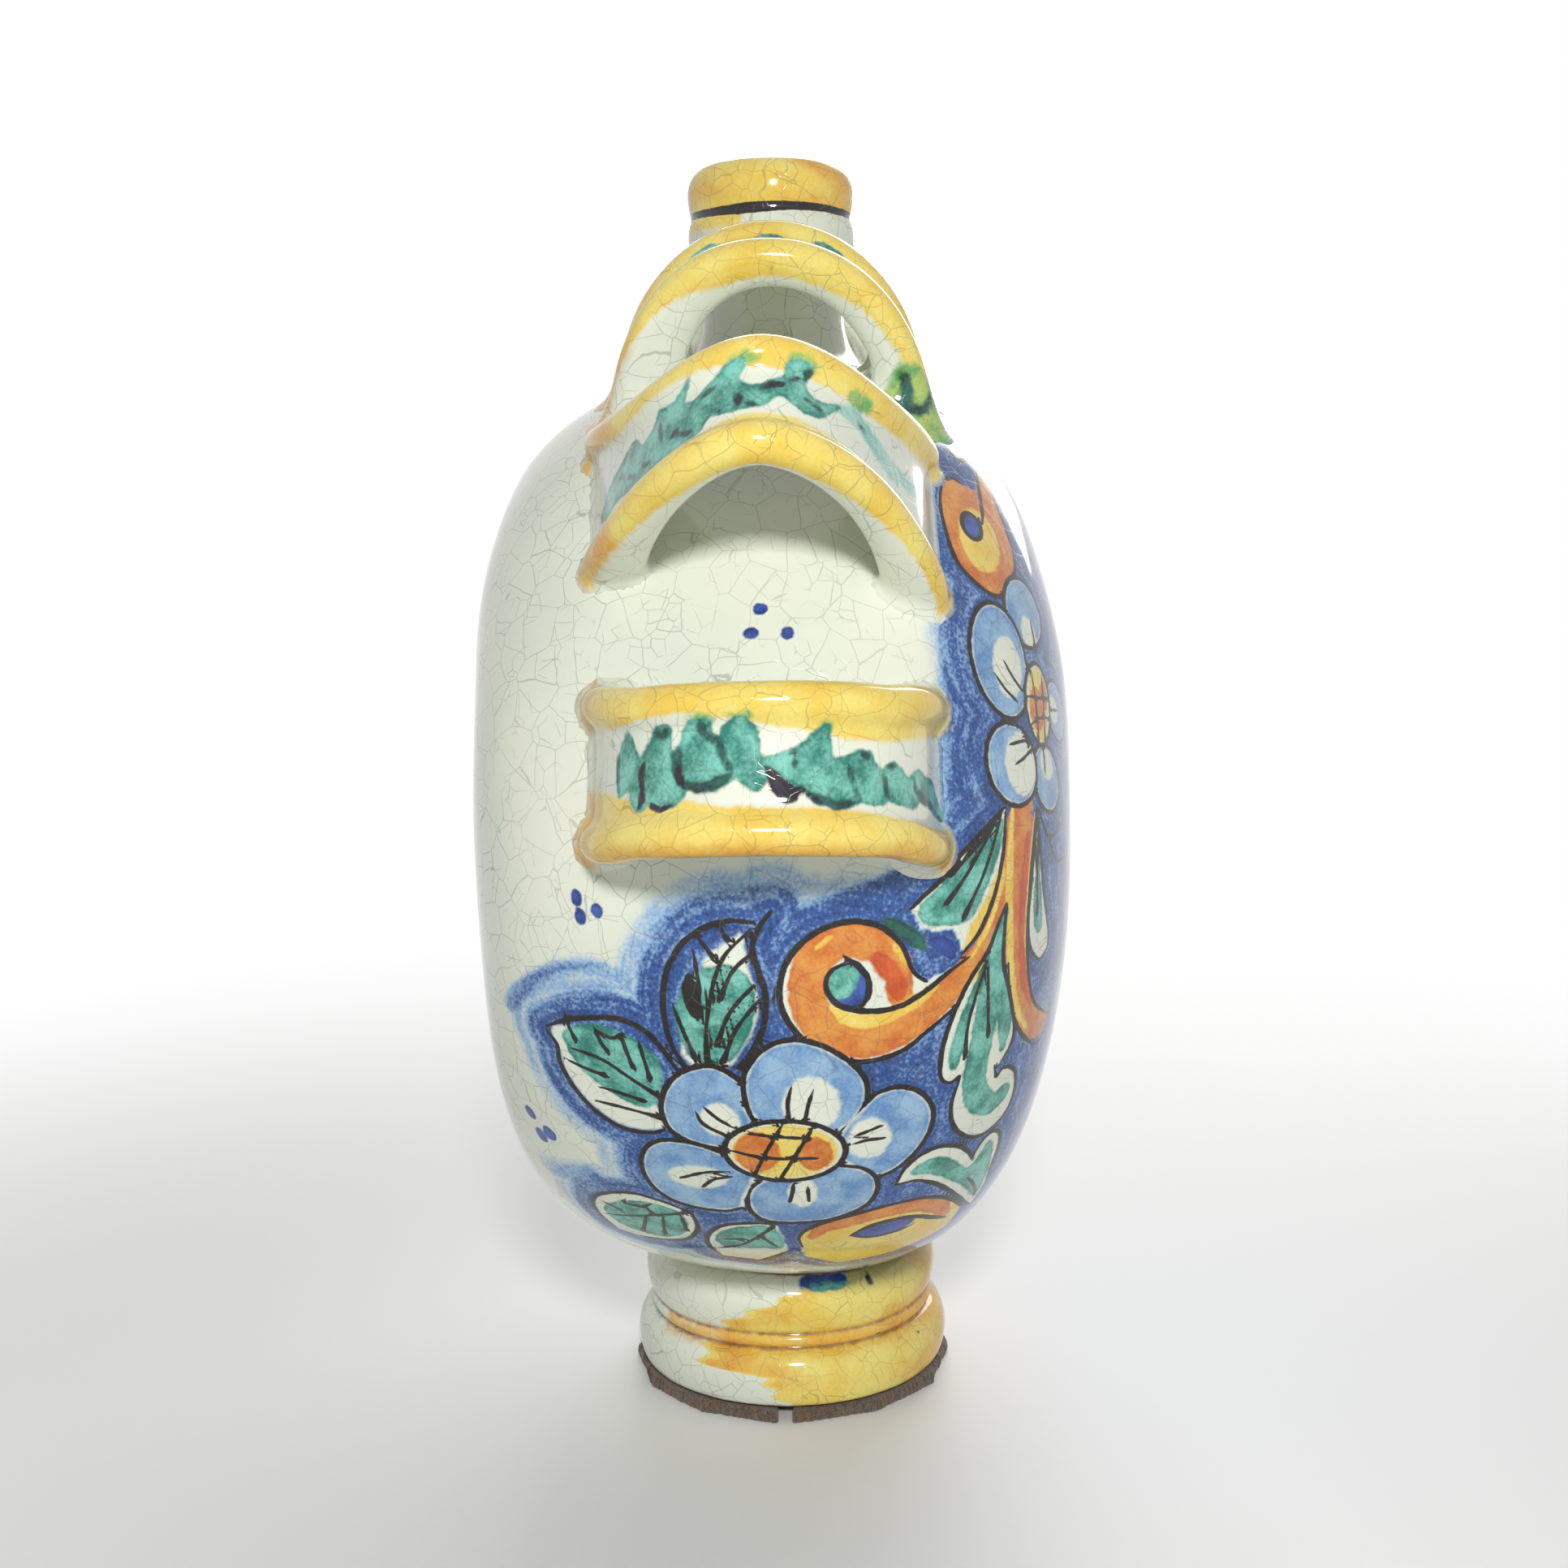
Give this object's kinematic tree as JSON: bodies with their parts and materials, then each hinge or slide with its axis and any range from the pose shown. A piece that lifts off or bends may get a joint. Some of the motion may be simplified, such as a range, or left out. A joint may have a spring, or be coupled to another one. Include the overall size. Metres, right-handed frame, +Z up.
{
  "type": "maiolica pilgrim flask",
  "caption": "Flat round tin-glazed flask on a beaded foot, with a beaded neck, ridged carrying loops round its shoulders and a flower and scroll front.",
  "frame": {"origin": "centre of the felt underside, on the table", "axes": "+Z up through the neck, the painted front faces -Y, the loops stand out along +X and -X"},
  "size_m": [0.2972, 0.1464, 0.3221],
  "materials": {
    "painted_glaze": "gloss tin glaze painted in blue, green, orange and yellow",
    "plain_glaze": "gloss greenish-white tin glaze with fine crackle",
    "loop_glaze": "gloss tin glaze, yellow ridges and green brushwork",
    "neck_glaze": "gloss tin glaze, yellow lip over a dark painted line",
    "foot_glaze": "gloss tin glaze, white with yellow washes",
    "felt": "matt pressed felt"
  },
  "bodies": {
    "root": {"front_bowl": "painted_glaze", "back_bowl": "plain_glaze", "neck": "neck_glaze", "foot_ring": "foot_glaze", "front_felt": "felt", "back_felt": "felt", "right_side_loop": "loop_glaze", "left_side_loop": "loop_glaze", "right_shoulder_loop": "loop_glaze", "left_shoulder_loop": "loop_glaze", "right_neck_loop": "loop_glaze", "left_neck_loop": "loop_glaze"}
  },
  "joints": []
}
